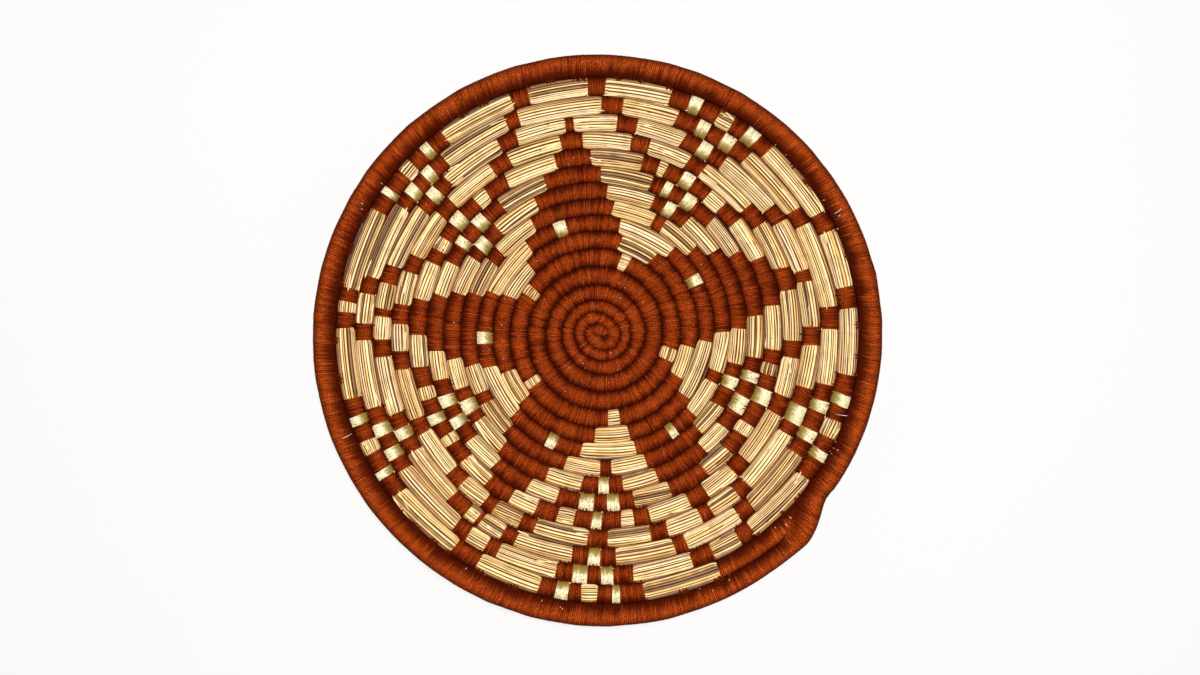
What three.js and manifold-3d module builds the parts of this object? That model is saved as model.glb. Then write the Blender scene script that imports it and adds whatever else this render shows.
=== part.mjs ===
// A shallow coiled basket: one running bundle of grass wound in a spiral from the middle of
// the base to the rim, and the sleeves of thread that bind it into a star and its diamonds.
// Millimetres, +Z up. The basket stands on its base, centred on the middle of its outline.
import * as THREE from 'three';
import { mergeVertices } from 'three/addons/utils/BufferGeometryUtils.js';
import Module from 'manifold-3d';

const wasm = await Module();
wasm.setup();

// Where the middle of the spiral stands, seen from the middle of the round outline
const SPIRAL_X = 2.12;
const SPIRAL_Y = 2.25;

// The bound coil's half thickness: at the start, over the base and wall, and at the rim
const START_RADIUS = 2.9;
const FIELD_RADIUS = 4.85;
const RIM_RADIUS = 6.0;
const START_SHARE = 0.85;
const SHOULDER_SHARE = 0.75;
const TIP_SHARE = 0.25;
const SIDES = 6;

// Clearances: between turns, between thread and grass, and the thread's own thickness
const TURN_GAP = 0.5;
const GRASS_GAP = 0.35;
const THREAD_WALL = 0.55;
const BLOCK_GAP = 0.35;

// The bowl's section, as slopes in degrees along the wall from the middle outwards
const WALL_STARTS = 45;
const WALL_STEEPEST = 84;
const WALL_EASED = 140;
const STEEPEST_SLOPE = 33;
const RIM_SLOPE = 26;

// The spiral, in turns from the middle: one turn is 360 degrees, counterclockwise from +X
const EYE_STEPS_PER_TURN = 12;
const EYE_TURNS = 3;
const STEPS_PER_TURN = 24;
const RIM_STEPS_PER_TURN = 48;
const EYE_TURN = 30 / 360;
const EYE_STRETCH = 2.0;
const EYE_FADES_OVER = 5;
const SPIRAL_STARTS = 4 / STEPS_PER_TURN;
const GRASS_STARTS = SPIRAL_STARTS + 0.062;
const CENTRE_ENDS = 4 + 339 / 360;
const RIM_STARTS = 15 + 296.6 / 360;
const RIM_FULL = 15 + 342 / 360;
const RIM_THINS = 16 + 284 / 360;
const RIM_SHOULDER = 16 + 309 / 360;
const GRASS_ENDS = 16.868;
const RIM_ENDS = 16 + 322.5 / 360;

// Stitches that hold one turn's thread to the next one
const STITCH_EVERY = 36;
const STITCH_WIDTH = 1.8;
const STITCH_HEIGHT = 1.2;
const STITCH_BITE = 0.4;

// The weaver's chart. Each row is one turn of the coil and gives, for each of the five
// sectors, where a wrapped stretch starts and ends, in degrees from +X.
const ARM_ROWS = [
  [5, [-11.2, 67.7], [74.5, 145.3], [152.3, 212.8], [218.5, 275.8], [283.5, 331.5]],
  [6, [-8, 54.8], [77.2, 135.8], [157.5, 202.3], [221, 267.5], [286.5, 324]],
  [7, [-4, 49], [79.3, 129], [158.9, 196.8], [223.2, 261.2], [287.5, 319.6]],
  [8, [0.7, 42], [83.9, 121.2], [162.2, 193.8], [226.2, 255.4], [290, 316]],
  [9, [2.2, 35.8], [86.9, 115.8], [164, 189.7], [229.3, 249.6], [292, 312.1]],
  [10, [6.6, 30.7], [89.5, 109.7], [166.5, 186], [231.3, 245], [294.3, 307.7]],
  [11, [9.5, 25.6], [92.8, 104.5], [169, 180.2], [232.7, 241.3], [298, 303.9]],
  [12, [13.3, 20.3], [95.2, 101.7], [171.3, 177], [235.1, 238.6], [298.8, 302.2]],
];
const DOT_TURN = 7;
const DOTS = [[26.3, 31.9], [107, 113.2], [179, 185], [243.5, 248.6], [304.8, 308.8]];
const INNER_DIAMOND_ROWS = [
  [8, [-23, -17.6], [59.4, 64.7], [140.5, 146.4], [206.4, 211.3], [270.3, 275.1]],
  [9, [-31, -12.3], [52.3, 68], [134, 149.2], [201.4, 215.5], [263.3, 278.8]],
  [10, [-36.9, -8.6], [45.2, 71.2], [127.3, 154.5], [196, 219.3], [255.4, 281.6]],
  [11, [-31.2, -13.5], [52.2, 68.3], [133, 148.4], [200.6, 213.2], [262, 276.5]],
];
const OUTER_DIAMOND_ROWS = [
  [12, [-24.2, -18.4], [58.1, 63.3], [138.2, 143.3], [204.4, 209], [266.3, 272]],
  [13, [-28, -14.4], [54.6, 67.3], [134.6, 145], [200.8, 211.8], [262.4, 273.8]],
  [14, [-31.2, -12.3], [50.8, 71], [131.7, 147.3], [197.5, 214.1], [259, 277.6]],
  [15, [-34.9, -24.1], [48, 58.4], [128.2, 137.8], [194, 204], [256, 265.4]],
  [15, [-20, -9], [62.1, 74], [140.8, 150.9], [207, 217.8], [269, 279.4]],
];

// The finishes
const rustThread = { color: 0xa2441c, roughness: 0.8, metalness: 0 };
const paleGrass = { color: 0xe3c88f, roughness: 0.7, metalness: 0 };
const goldThread = { color: 0xcdbb78, roughness: 0.35, metalness: 0.7 };

const ease = THREE.MathUtils.smoothstep;
const mix = THREE.MathUtils.lerp;

// Half thickness of the bound coil at a place on the spiral
function coilRadius(turn) {
  const grown = mix(START_RADIUS, FIELD_RADIUS, ease(turn, 1.5, 4.2));
  const started = grown * mix(START_SHARE, 1, ease(turn, 0.5, 1.1));
  const full = mix(started, RIM_RADIUS, ease(turn, RIM_STARTS + 0.03, RIM_FULL));
  const thinned = full * mix(1, SHOULDER_SHARE, ease(turn, RIM_THINS, RIM_SHOULDER));
  return thinned * mix(1, TIP_SHARE, ease(turn, RIM_SHOULDER, RIM_ENDS));
}

// Distance along the wall from the middle. The first turn is a small oval, and every later
// turn lies against the one before it, a little rounder each time until the oval is gone.
const EYE_SLACK = EYE_STRETCH / EYE_FADES_OVER;
const EYE_PITCH = coilRadius(SPIRAL_STARTS) + coilRadius(SPIRAL_STARTS + 1) + TURN_GAP + EYE_SLACK;

function alongWall(turn) {
  const fromEye = turn + EYE_TURN;
  const ovalShare = Math.cos(2 * Math.PI * fromEye) ** 2;
  if (turn < SPIRAL_STARTS + 1) {
    return EYE_PITCH * fromEye + EYE_STRETCH * ovalShare;
  }
  const fading = 1 - ease(turn, EYE_FADES_OVER, EYE_FADES_OVER + 1);
  const slack = TURN_GAP + EYE_SLACK * (1 - ovalShare) * fading;
  return alongWall(turn - 1) + coilRadius(turn - 1) + coilRadius(turn) + slack;
}

function wallSlope(along) {
  const rising = mix(0, STEEPEST_SLOPE, ease(along, WALL_STARTS, WALL_STEEPEST));
  const slope = mix(rising, RIM_SLOPE, ease(along, WALL_STEEPEST, WALL_EASED));
  return THREE.MathUtils.degToRad(slope);
}

// The bowl's section, added up in short steps from the middle outwards
const SECTION_STEP = 0.25;
const SECTION_LENGTH = 175;
const section = [{ out: 0, up: 0 }];
for (let i = 0; i * SECTION_STEP < SECTION_LENGTH; i += 1) {
  const slope = wallSlope((i + 0.5) * SECTION_STEP);
  const { out, up } = section[i];
  section.push({ out: out + SECTION_STEP * Math.cos(slope), up: up + SECTION_STEP * Math.sin(slope) });
}

function sectionPoint(along) {
  const i = Math.floor(along / SECTION_STEP);
  const share = along / SECTION_STEP - i;
  return {
    out: mix(section[i].out, section[i + 1].out, share),
    up: mix(section[i].up, section[i + 1].up, share),
  };
}

// The coil's six-sided section lies on the ground with a flat, and tips onto an edge as the
// wall rises. This is how high its middle stands over its lowest edge.
function restHeight(turn, slope) {
  return coilRadius(Math.min(turn, RIM_STARTS)) * Math.sin(Math.PI / 3 + slope);
}

function coilCentre(turn) {
  const along = alongWall(turn);
  const { out, up } = sectionPoint(along);
  const angle = 2 * Math.PI * turn;
  const height = up + restHeight(turn, wallSlope(along));
  return new THREE.Vector3(out * Math.cos(angle), out * Math.sin(angle), height);
}

// One station of the spiral: its centre, the way across the coil and the way out of the wall
function makeStation(turn) {
  const centre = coilCentre(turn);
  const step = 0.002;
  const forward = coilCentre(turn + step).sub(coilCentre(turn - step));
  const outward = new THREE.Vector3(forward.y, -forward.x, 0).normalize();
  const slope = wallSlope(alongWall(turn));
  const across = outward.clone().multiplyScalar(Math.cos(slope)).setZ(Math.sin(slope));
  const away = outward.clone().multiplyScalar(-Math.sin(slope)).setZ(Math.cos(slope));
  return { turn, centre, across, away, radius: coilRadius(turn) };
}

const stations = [];
const firstStep = Math.round(SPIRAL_STARTS * RIM_STEPS_PER_TURN);
const lastStep = Math.round(RIM_ENDS * RIM_STEPS_PER_TURN);
for (let step = firstStep; step <= lastStep; step += 1) {
  const turn = step / RIM_STEPS_PER_TURN;
  const perTurn = turn < EYE_TURNS ? EYE_STEPS_PER_TURN : STEPS_PER_TURN;
  if (step % (RIM_STEPS_PER_TURN / perTurn) === 0 || turn > RIM_STARTS) {
    stations.push(makeStation(turn));
  }
}

// Any place on the spiral, on the straight line between the two stations beside it
function placeAt(turn) {
  const next = Math.max(1, stations.findIndex((station) => station.turn >= turn));
  const a = stations[next - 1];
  const b = stations[next];
  const share = (turn - a.turn) / (b.turn - a.turn);
  return {
    turn,
    centre: a.centre.clone().lerp(b.centre, share),
    across: a.across.clone().lerp(b.across, share),
    away: a.away.clone().lerp(b.away, share),
    radius: mix(a.radius, b.radius, share),
  };
}

function placesBetween(from, to) {
  const between = stations.filter(({ turn }) => turn > from + 1e-4 && turn < to - 1e-4);
  return [placeAt(from), ...between, placeAt(to)];
}

function ringPoints(place, radius) {
  const points = [];
  for (let side = 0; side < SIDES; side += 1) {
    const angle = (2 * Math.PI * side) / SIDES;
    points.push(place.centre.clone()
      .addScaledVector(place.across, radius * Math.cos(angle))
      .addScaledVector(place.away, radius * Math.sin(angle)));
  }
  return points;
}

// Geometry from a list of points and a list of faces
function meshGeometry(points, faces) {
  const geometry = new THREE.BufferGeometry();
  const numbers = points.flatMap(({ x, y, z }) => [x, y, z]);
  geometry.setAttribute('position', new THREE.Float32BufferAttribute(numbers, 3));
  geometry.setIndex(faces.flat());
  return geometry;
}

// Joins each ring of a list to the next with two triangles a side
function joinRings(faces, firstRing, lastRing, inward) {
  for (let ring = firstRing; ring < lastRing; ring += 1) {
    for (let side = 0; side < SIDES; side += 1) {
      const a = ring * SIDES + side;
      const b = ring * SIDES + ((side + 1) % SIDES);
      const quad = [[a, a + SIDES, b], [b, a + SIDES, b + SIDES]];
      faces.push(...quad.map((face) => (inward ? face.reverse() : face)));
    }
  }
}

// Closes a ring with a fan of triangles, facing forwards or backwards along the coil
function closeRing(faces, ring, forwards) {
  for (let side = 1; side < SIDES - 1; side += 1) {
    const first = ring * SIDES;
    const face = [first, first + side, first + side + 1];
    faces.push(forwards ? face.reverse() : face);
  }
}

// Joins an outer ring to an inner one: the cut end of a sleeve
function joinRim(faces, outerRing, innerRing, forwards) {
  for (let side = 0; side < SIDES; side += 1) {
    const next = (side + 1) % SIDES;
    const outer = [outerRing * SIDES + side, outerRing * SIDES + next];
    const inner = [innerRing * SIDES + side, innerRing * SIDES + next];
    const quad = [[outer[0], outer[1], inner[0]], [outer[1], inner[1], inner[0]]];
    faces.push(...quad.map((face) => (forwards ? face.reverse() : face)));
  }
}

// A solid run of the coil with both ends closed
function bundleGeometry(from, to, inset) {
  const places = placesBetween(from, to);
  const points = places.flatMap((place) => ringPoints(place, place.radius - inset));
  const faces = [];
  joinRings(faces, 0, places.length - 1, false);
  closeRing(faces, 0, false);
  closeRing(faces, places.length - 1, true);
  return meshGeometry(points, faces);
}

// A sleeve of thread round the coil. Its hollow runs from end to end, or stops short of an
// end that closes over the grass.
function sleeveGeometry(from, to, hollowFrom = from, hollowTo = to) {
  const outside = placesBetween(from, to);
  const inside = placesBetween(hollowFrom, hollowTo);
  const points = [
    ...outside.flatMap((place) => ringPoints(place, place.radius)),
    ...inside.flatMap((place) => ringPoints(place, place.radius - THREAD_WALL)),
  ];
  const outerLast = outside.length - 1;
  const innerFirst = outside.length;
  const innerLast = outside.length + inside.length - 1;
  const faces = [];
  joinRings(faces, 0, outerLast, false);
  joinRings(faces, innerFirst, innerLast, true);
  if (hollowFrom > from) {
    closeRing(faces, 0, false);
    closeRing(faces, innerFirst, true);
  } else {
    joinRim(faces, 0, innerFirst, false);
  }
  if (hollowTo < to) {
    closeRing(faces, outerLast, true);
    closeRing(faces, innerLast, false);
  } else {
    joinRim(faces, outerLast, innerLast, true);
  }
  return meshGeometry(points, faces);
}

// One stitch: a short bar from the thread of one turn into the thread of the next
function stitchGeometry(turn) {
  const half = STITCH_WIDTH / 2;
  const ends = [
    { place: placeAt(turn), out: 1 },
    { place: placeAt(turn + 1), out: -1 },
  ];
  const points = [];
  for (const { place, out } of ends) {
    const along = new THREE.Vector3().crossVectors(place.away, place.across).normalize();
    const reach = out * (place.radius - STITCH_BITE);
    for (const [sideways, high] of [[-1, -1], [1, -1], [1, 1], [-1, 1]]) {
      points.push(place.centre.clone()
        .addScaledVector(place.across, reach)
        .addScaledVector(along, half * sideways)
        .addScaledVector(place.away, (STITCH_HEIGHT / 2) * high));
    }
  }
  const faces = [[0, 2, 1], [0, 3, 2], [4, 5, 6], [4, 6, 7]];
  for (let side = 0; side < 4; side += 1) {
    const next = (side + 1) % 4;
    faces.push([side, next, side + 4], [next, next + 4, side + 4]);
  }
  return meshGeometry(points, faces);
}

function toSolid(geometry) {
  const merged = mergeVertices(geometry, 1e-5);
  const mesh = new wasm.Mesh({
    numProp: 3,
    vertProperties: new Float32Array(merged.attributes.position.array),
    triVerts: new Uint32Array(merged.index.array),
  });
  return new wasm.Manifold(mesh);
}

function fromSolid(solid) {
  const { vertProperties, triVerts } = solid.getMesh();
  const geometry = new THREE.BufferGeometry();
  geometry.setAttribute('position', new THREE.BufferAttribute(vertProperties, 3));
  geometry.setIndex(new THREE.BufferAttribute(triVerts, 1));
  return geometry;
}

// The stretch of turns that a pair of angles names on one turn of the coil
function stretchOn(turn, [start, end]) {
  return { from: turn + start / 360, to: turn + end / 360 };
}

// Sleeves on neighbouring turns, held together by stitches where they lie side by side
function stitchedSleeves(stretches) {
  let joined = null;
  const add = (geometry) => {
    const solid = toSolid(geometry);
    joined = joined ? joined.add(solid) : solid;
  };
  stretches.forEach(({ from, to }) => add(sleeveGeometry(from, to)));
  for (const lower of stretches) {
    for (const upper of stretches) {
      const from = Math.max(lower.from, upper.from - 1);
      const to = Math.min(lower.to, upper.to - 1);
      const { centre } = placeAt(from);
      const length = (to - from) * 2 * Math.PI * Math.hypot(centre.x, centre.y);
      if (length > STITCH_WIDTH) {
        const count = Math.max(1, Math.round(length / STITCH_EVERY));
        for (let i = 0; i < count; i += 1) {
          add(stitchGeometry(mix(from, to, (i + 0.5) / count)));
        }
      }
    }
  }
  return fromSolid(joined);
}

// An arm's row that holds its gold dot is wrapped on both sides of the dot
function armStretches(sector) {
  return ARM_ROWS.flatMap(([turn, ...sectors]) => {
    const whole = stretchOn(turn, sectors[sector]);
    if (turn !== DOT_TURN) {
      return [whole];
    }
    const dot = stretchOn(turn, DOTS[sector]);
    const { centre } = placeAt(dot.from);
    const gap = BLOCK_GAP / (2 * Math.PI * Math.hypot(centre.x, centre.y));
    return [{ from: whole.from, to: dot.from - gap }, { from: dot.to + gap, to: whole.to }];
  });
}

function diamondStretches(rows, sector) {
  return rows.map(([turn, ...sectors]) => stretchOn(turn, sectors[sector]));
}

// The least gap between a run of the coil and itself one turn on, measured between points
// on its surface half a step apart
function leastGap(from, to, inset) {
  const rings = [];
  for (let turn = from; turn < to; turn += 0.5 / RIM_STEPS_PER_TURN) {
    const place = placeAt(turn);
    rings.push({ turn, points: ringPoints(place, place.radius - inset) });
  }
  let least = Infinity;
  for (const ring of rings) {
    for (const other of rings) {
      if (other.turn - ring.turn > 0.7 && other.turn - ring.turn < 1.3) {
        for (const point of ring.points) {
          for (const near of other.points) {
            least = Math.min(least, point.distanceTo(near));
          }
        }
      }
    }
  }
  return least;
}

// The parts of the basket
const basket = new THREE.Group();
basket.position.set(SPIRAL_X, SPIRAL_Y, 0);

function addPart(name, geometry, finish) {
  const mesh = new THREE.Mesh(geometry, new THREE.MeshStandardMaterial(finish));
  mesh.name = name;
  basket.add(mesh);
}

const grassInset = THREAD_WALL + GRASS_GAP;
addPart('grass_coil', bundleGeometry(GRASS_STARTS, GRASS_ENDS, grassInset), paleGrass);

const centreHollow = SPIRAL_STARTS + 1 / STEPS_PER_TURN;
addPart('centre_wrap', sleeveGeometry(SPIRAL_STARTS, CENTRE_ENDS, centreHollow), rustThread);

for (let sector = 0; sector < DOTS.length; sector += 1) {
  const label = sector + 1;
  addPart(`star_arm_wrap_${label}`, stitchedSleeves(armStretches(sector)), rustThread);
  const inner = stitchedSleeves(diamondStretches(INNER_DIAMOND_ROWS, sector));
  addPart(`inner_diamond_wrap_${label}`, inner, rustThread);
  const outer = stitchedSleeves(diamondStretches(OUTER_DIAMOND_ROWS, sector));
  addPart(`outer_diamond_wrap_${label}`, outer, rustThread);
  const dot = stretchOn(DOT_TURN, DOTS[sector]);
  addPart(`gold_dot_wrap_${label}`, sleeveGeometry(dot.from, dot.to), goldThread);
}

const rimHollowEnds = GRASS_ENDS + 0.002;
addPart('rim_wrap', sleeveGeometry(RIM_STARTS, RIM_ENDS, RIM_STARTS, rimHollowEnds), rustThread);

const coilGap = leastGap(GRASS_STARTS, GRASS_ENDS, grassInset);
console.log(`least gap of the grass coil to itself: ${coilGap.toFixed(2)} mm`);

export default basket;
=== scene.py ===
"""A shallow coiled basket: a running bundle of dry grass, wound in a spiral and bound with
rust-red and gold thread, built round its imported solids. Blender 4.5, metres, +Z up."""
import math
from collections import namedtuple

import bmesh
import bpy
import numpy as np
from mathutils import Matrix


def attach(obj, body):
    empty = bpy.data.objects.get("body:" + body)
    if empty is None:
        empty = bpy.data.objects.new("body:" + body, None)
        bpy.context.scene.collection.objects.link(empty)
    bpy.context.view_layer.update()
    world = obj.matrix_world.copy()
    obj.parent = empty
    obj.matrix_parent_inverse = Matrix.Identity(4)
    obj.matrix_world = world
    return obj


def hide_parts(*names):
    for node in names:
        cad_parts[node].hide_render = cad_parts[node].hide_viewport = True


bl_info = {
    "name": "Coiled Basket",
    "version": (1, 0, 0),
    "blender": (4, 5, 0),
    "location": "3D View > Sidebar > Basket",
    "description": "Builds a coiled basket of grass bundles and thread round its solids",
    "category": "Object",
}

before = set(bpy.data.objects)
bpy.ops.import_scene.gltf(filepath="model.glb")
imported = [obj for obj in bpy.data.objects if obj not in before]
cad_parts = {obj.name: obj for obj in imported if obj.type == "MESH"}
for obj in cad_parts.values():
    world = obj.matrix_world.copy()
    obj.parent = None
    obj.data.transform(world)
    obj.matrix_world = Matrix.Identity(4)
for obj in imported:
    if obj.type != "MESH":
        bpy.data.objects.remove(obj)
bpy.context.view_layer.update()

MM = 0.001

# The spiral, which follows that of the solids. Turns are counted from the middle, and one turn is
# 360 degrees counterclockwise from +X. A pair of turns says where something begins and ends.
SPIRAL_MIDDLE = (2.12 * MM, 2.25 * MM)
START_RADIUS = 2.9 * MM
FIELD_RADIUS = 4.85 * MM
RIM_RADIUS = 5.87 * MM
START_SHARE = 0.85
START_FILLS = (0.5, 1.1)
COIL_THICKENS = (1.5, 4.2)
SHOULDER_SHARE = 0.80
TIP_SHARE = 0.3
TURN_GAP = 0.5 * MM
MOST_SPARE = 0.6 * MM
EYE_TURN = 30 / 360
EYE_STRETCH = 2.0 * MM
EYE_FADES_OVER = 5
SPIRAL_STARTS = 60 / 360
CENTRE_ENDS = 4 + 339 / 360
RIM_STARTS = 15 + 296.6 / 360
RIM_GROWS = 15 + 306 / 360
RIM_FULL = 15 + 330 / 360
RIM_THINS = 16 + 265 / 360
RIM_SHOULDER = 16 + 314 / 360
RIM_ENDS = 16 + 326 / 360
TAIL_TUCK = 3.75 * MM
TAIL_BOUND = (16 + 310 / 360, 16 + 318 / 360)
BINDING_ROOM = 0.15 * MM
BINDING_HEIGHT = 1.06
STEPS_PER_TURN = 720

# The very start, which is folded back into the middle of the first turn
LEAD_STEPS = 120
LEAD_JOINS = 0.5
LEAD_STARTS = LEAD_JOINS - LEAD_STEPS / STEPS_PER_TURN
LEAD_TIP = (5.2 * MM, -0.6 * MM)
LEAD_BOW = (2.4 * MM, 2.6 * MM)
LEAD_PULL = 3.2 * MM
LEAD_TIP_THINNED = 0.9
LEAD_BLUNTNESS = 12
EYE_FILL = 1.0 * MM
EYE_FILL_FADES = (0.7, 1.2)

# The bowl's section, as slopes along the wall from the middle outwards
WALL_STARTS = 45 * MM
WALL_STEEPEST = 84 * MM
WALL_EASED = 140 * MM
STEEPEST_SLOPE = math.radians(33)
RIM_SLOPE = math.radians(26)
SECTION_STEP = 0.25 * MM
SECTION_LENGTH = 175 * MM
LYING_ANGLE = math.radians(60)

# How the hand-made turns stray from the even spiral: a turn, and how far it lies outwards
STRAY_TURNS = (2.0, 4.0, 6.5, 8.5, 10.5, 12.5, 15.0, 17.0)
STRAY_OUTWARDS = (0.0, -1.1 * MM, -1.4 * MM, -2.1 * MM, -1.5 * MM, -0.6 * MM, -0.25 * MM,
                  -0.15 * MM)
STRAY_RIM = (1.3 * MM, -1.2 * MM)
STRAY_ROUNDNESS = 0.8 * MM
STRAY_SLANT = -0.36 * MM
RIM_STRAYS = (9.0, 16.0)

# The weaver's chart. A row is one turn of the coil, read outwards from the middle. Each entry
# is what the thread does and the angle where it stops doing it: s wraps a star arm, d a diamond,
# z a zigzag line, g is gold thread, and b leaves the straw bare.
CHART = {
    5: "b-11.2 s67.7 b74.5 s145.3 b152.3 s212.8 b218.5 s275.8 b283.5",
    6: "s-28.5 b-8 s54.8 b77.2 s135.8 b157.5 s202.3 b221 s267.5 b286.5",
    7: "s-36 b-4 s26.3 g31.9 s49 b79.3 s107 g113.2 s129 b158.9 s179 g185 s196.8 b223.2 s243.5 "
       "g248.6 s261.2 b287.5 s304.8 g308.8",
    8: "s-40.4 b-23 d-17.6 b0.7 s42 b59.4 d64.7 b83.9 s121.2 b140.5 d146.4 b162.2 s193.8 "
       "b206.4 d211.3 b226.2 s255.4 b270.3 d275.1 b290",
    9: "s-44 b-31 d-22.9 g-17.9 d-12.3 b2.2 s35.8 b52.3 d58.6 g63 d68 b86.9 s115.8 b134 d140 "
       "g145 d149.2 b164 s189.7 b201.4 d206.2 g211.6 d215.5 b229.3 s249.6 b263.3 d269.6 g273.6 "
       "d278.8 b292",
    10: "s-47.9 b-36.9 d-29.8 g-23.4 d-17.7 g-14 d-8.6 b6.6 s30.7 b45.2 d53.7 g58.5 d63.5 "
        "g66.6 d71.2 b89.5 s109.7 b127.3 d134.5 g139 d144.6 g148 d154.5 b166.5 s186 b196 d201.6 "
        "g205.8 d209.7 g213.5 d219.3 b231.3 s245 b255.4 d263 g268 d272.4 g276.6 d281.6 b294.3",
    11: "s-52.3 b-42.2 z-35.2 b-31.2 d-23.6 g-18.4 d-13.5 b-9.7 z-5 b9.5 s25.6 b39.5 z46.3 "
        "b52.2 d58.4 g62.6 d68.3 b70.7 z76.2 b92.8 s104.5 b121.3 z128.8 b133 d139 g143.4 d148.4 "
        "b152.6 z157 b169 s180.2 b190.3 z196.7 b200.6 d205.6 g208.9 d213.2 b216.5 z222.8 b232.7 "
        "s241.3 b249.8 z256.8 b262 d267.5 g270.6 d276.5 b280.3 z285.3 b298 s303.9",
    12: "b-45.9 z-40.7 b-24.2 d-18.4 b-6.9 z-1.8 b13.3 s20.3 b34.5 z41 b58.1 d63.3 b75.5 z81 "
        "b95.2 s101.7 b117.4 z123.2 b138.2 d143.3 b156.9 z161.9 b171.3 s177 b184.7 z190 b204.4 "
        "d209 b222.3 z227 b235.1 s238.6 b246.7 z251.2 b266.3 d272 b284 z289 b298.8 s302.2 b310.7",
    13: "z-45.4 b-28 d-24.6 g-19.4 d-14.4 b-2.8 z2.3 b14.7 s17.8 b32.2 z37 b54.6 d59 g62.6 "
        "d67.3 b80.2 z85.7 b97.3 s99.7 b113 z118.2 b134.6 d138.3 g141.4 d145 b161.6 z166.4 "
        "b173.1 s175.2 b181.1 z185.7 b200.8 d204.8 g207.9 d211.8 b227.2 z232.8 b236 s237.2 "
        "b243.6 z247.4 b262.4 d266.7 g269.8 d273.8 b289 z292.3 b307.3",
    14: "z-48.5 b-31.2 d-27.3 g-24.2 d-19.4 g-16.5 d-12.3 b1.6 z7.2 b28.6 z33 b50.8 d55.2 "
        "g58.5 d62.4 g65.4 d71 b84.6 z90 b110.8 z114.1 b131.7 d135.5 g138.2 d141.2 g144 d147.3 "
        "b165.7 z169.9 b177.1 z181.1 b197.5 d201.5 g204.6 d207.9 g210.8 d214.1 b232.4 z236.2 "
        "b241.2 z244.4 b259 d263 g266.6 d269.8 g272.8 d277.6 b291.8 z297.2 b304.1",
    15: "z-52.2 b-34.9 d-29.9 g-27.5 d-24.1 b-20 d-16.4 g-13.6 d-9 b6.3 z11.3 b24.7 z29.4 b48 "
        "d51.6 g54.8 d58.4 b62.1 d66.6 g69.4 d74 b89.2 z93.2 b106.9 z111 b128.2 d132.1 g134.3 "
        "d137.8 b140.8 d145.3 g147 d150.9 b169.3 z172.4 b174.7 z178.2 b194 d198 g200.2 d204 "
        "b207 d211.3 g213.2 d217.8 b235.1 z241.4 b256 d259.7 g262.6 d265.4 b269 d272.3 g274.1 "
        "d279.4 b296.6",
}
CHART_ROWS = range(5, 16)
GOLD_DOT_ROW = 7
INNER_DIAMOND_ROWS = range(8, 12)
OUTER_DIAMOND_ROWS = range(12, 16)
ARM_AXES = (23, 105, 178, 243, 307)
DIAMOND_AXES = (-20, 61, 141, 208, 271)


class BasketSizes(bpy.types.PropertyGroup):
    """Sizes of the grass and thread"""
    thread_width: bpy.props.FloatProperty(
        name="Thread width", description="Width of one turn of the binding thread",
        default=1.0 * MM, unit="LENGTH", precision=5)
    thread_depth: bpy.props.FloatProperty(
        name="Thread depth", description="Depth of the groove between two turns of thread",
        default=0.26 * MM, unit="LENGTH", precision=5)
    wrap_fullness: bpy.props.FloatProperty(
        name="Wrap fullness", description="How far the thread stands out beyond its solid",
        default=0.18 * MM, unit="LENGTH", precision=5)
    straw_width: bpy.props.FloatProperty(
        name="Straw width", description="Width of one grass stem",
        default=1.3 * MM, unit="LENGTH", precision=5)
    straw_fullness: bpy.props.FloatProperty(
        name="Straw fullness", description="How far bare straw swells beyond the thread",
        default=0.35 * MM, unit="LENGTH", precision=5)
    straw_stiffness: bpy.props.FloatProperty(
        name="Straw stiffness", description="Share of the coil's curve that bare straw cuts off",
        default=0.5, min=0, max=1)


class BasketColours(bpy.types.PropertyGroup):
    """Colours of the grass and thread"""
    thread_dark: bpy.props.FloatVectorProperty(
        name="Dark thread", description="Rust thread where it is darkest", subtype="COLOR",
        default=(0.33, 0.038, 0.0026), min=0, max=1)
    thread_bright: bpy.props.FloatVectorProperty(
        name="Bright thread", description="Rust thread where it is brightest", subtype="COLOR",
        default=(0.92, 0.152, 0.0185), min=0, max=1)
    # Painted shade: the near-black that the rust thread is darkened to in the grooves between turns
    # and between coils
    thread_groove: bpy.props.FloatVectorProperty(
        name="Thread groove", description="Rust thread between two turns", subtype="COLOR",
        default=(0.04, 0.002, 0.0002), min=0, max=1)
    gold: bpy.props.FloatVectorProperty(
        name="Gold thread", description="Metallic thread", subtype="COLOR",
        default=(1.0, 0.88, 0.54), min=0, max=1)
    # Painted shade: the olive that the gold ribbon is darkened to at its inner end and between
    # turns
    gold_groove: bpy.props.FloatVectorProperty(
        name="Gold groove", description="Metallic thread between two turns", subtype="COLOR",
        default=(0.30, 0.19, 0.018), min=0, max=1)


class StudioSettings(bpy.types.PropertyGroup):
    """The floor, the lights and the camera"""
    camera_height: bpy.props.FloatProperty(
        name="Camera height", description="Height of the camera over the rim",
        default=0.85, unit="LENGTH")
    lamp_power: bpy.props.FloatProperty(
        name="Lamp power", description="Power of the overhead soft lamp", default=83.5,
        unit="POWER")
    room_light: bpy.props.FloatProperty(
        name="Room light", description="Strength of the light from all round", default=0.12)
    floor_colour: bpy.props.FloatVectorProperty(
        name="Floor colour", description="Colour of the pale floor", subtype="COLOR",
        default=(0.74, 0.74, 0.74), min=0, max=1)


def ease(value, low, high):
    share = np.clip((value - low) / (high - low), 0.0, 1.0)
    return share * share * (3 - 2 * share)


def mix(start, end, share):
    return start + (end - start) * share


def coil_radius(turn):
    """Half thickness of the bound coil at a place on the spiral."""
    grown = mix(START_RADIUS, FIELD_RADIUS, ease(turn, *COIL_THICKENS))
    started = grown * mix(START_SHARE, 1.0, ease(turn, *START_FILLS))
    full = mix(started, RIM_RADIUS, ease(turn, RIM_GROWS, RIM_FULL))
    thinned = full * mix(1.0, SHOULDER_SHARE, ease(turn, RIM_THINS, RIM_SHOULDER))
    return thinned * mix(1.0, TIP_SHARE, ease(turn, RIM_SHOULDER, RIM_ENDS))


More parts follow.
